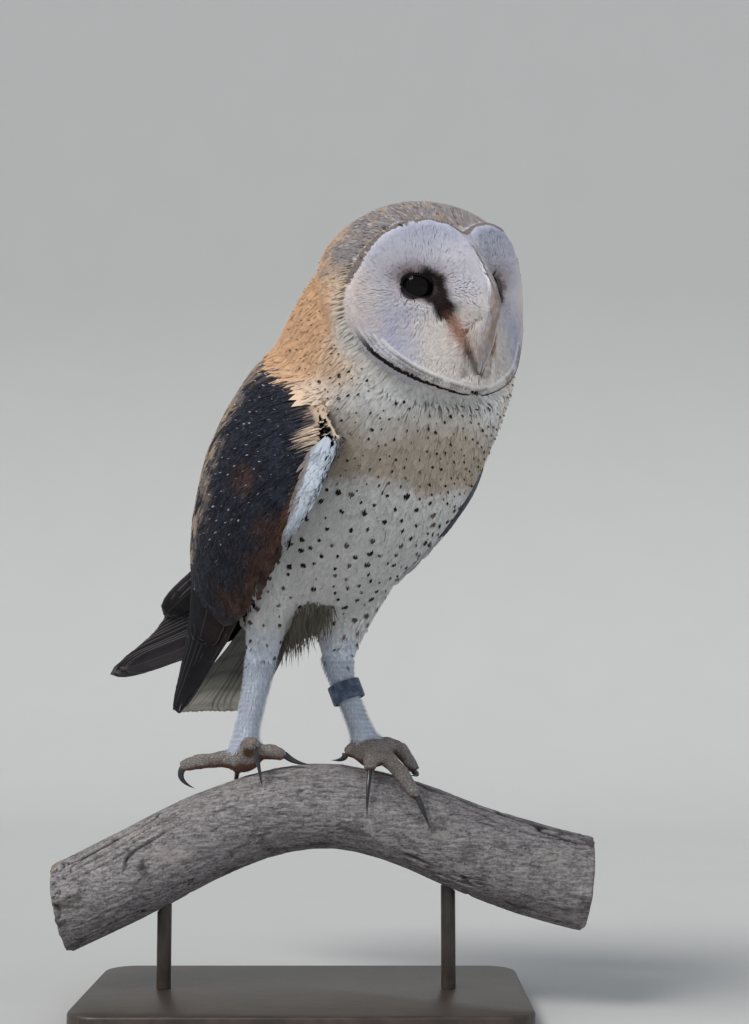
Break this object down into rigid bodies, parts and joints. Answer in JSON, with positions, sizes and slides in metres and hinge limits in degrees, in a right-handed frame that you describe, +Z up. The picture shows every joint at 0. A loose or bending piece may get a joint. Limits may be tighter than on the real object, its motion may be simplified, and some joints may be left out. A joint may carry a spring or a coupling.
{
  "type": "barn owl model",
  "caption": "Still life-size barn owl standing on a cut length of branch, held by a flat base and short rods; heart-shaped face, folded wings, ring on the left leg.",
  "frame": {"origin": "centre of the stand base's underside", "axes": "+Z up; +X along the branch, towards the viewer's right; the owl looks towards -Y, turned 28 degrees towards +X"},
  "size_m": [0.2994, 0.3147, 0.416],
  "materials": {
    "plumage_crown": "soft finely speckled plumage, whitish over the face",
    "plumage_neck": "soft buff plumage with small dark spots",
    "plumage_pale": "soft whitish plumage with scattered dark spots",
    "plumage_wing": "slate-black plumage with small white spots and rusty edges",
    "toe_skin": "scaly bare skin with rusty pads",
    "claw_horn": "polished black horn",
    "bill_horn": "smooth pinkish horn",
    "eye": "wet black",
    "ring_metal": "dull blue-grey metal band",
    "branch_wood": "weathered grey bare wood with cracks",
    "stand_finish": "matt dark paint"
  },
  "bodies": {
    "root": {"head": "plumage_crown", "neck": "plumage_neck", "trunk": "plumage_pale", "tail": "plumage_pale", "wing_right": "plumage_wing", "wing_left": "plumage_wing", "leg_right": "plumage_pale", "leg_left": "plumage_pale", "tarsus_right": "plumage_pale", "tarsus_left": "plumage_pale", "foot_right": "toe_skin", "foot_left": "toe_skin", "claw_right_outer": "claw_horn", "claw_right_middle": "claw_horn", "claw_right_inner": "claw_horn", "claw_right_hind": "claw_horn", "claw_left_outer": "claw_horn", "claw_left_middle": "claw_horn", "claw_left_inner": "claw_horn", "claw_left_hind": "claw_horn", "eye_left": "eye", "eye_right": "eye", "bill_upper": "bill_horn", "bill_lower": "bill_horn", "ring": "ring_metal", "perch": "branch_wood", "stand_base": "stand_finish", "stand_rod_1": "stand_finish", "stand_rod_2": "stand_finish"}
  },
  "joints": []
}
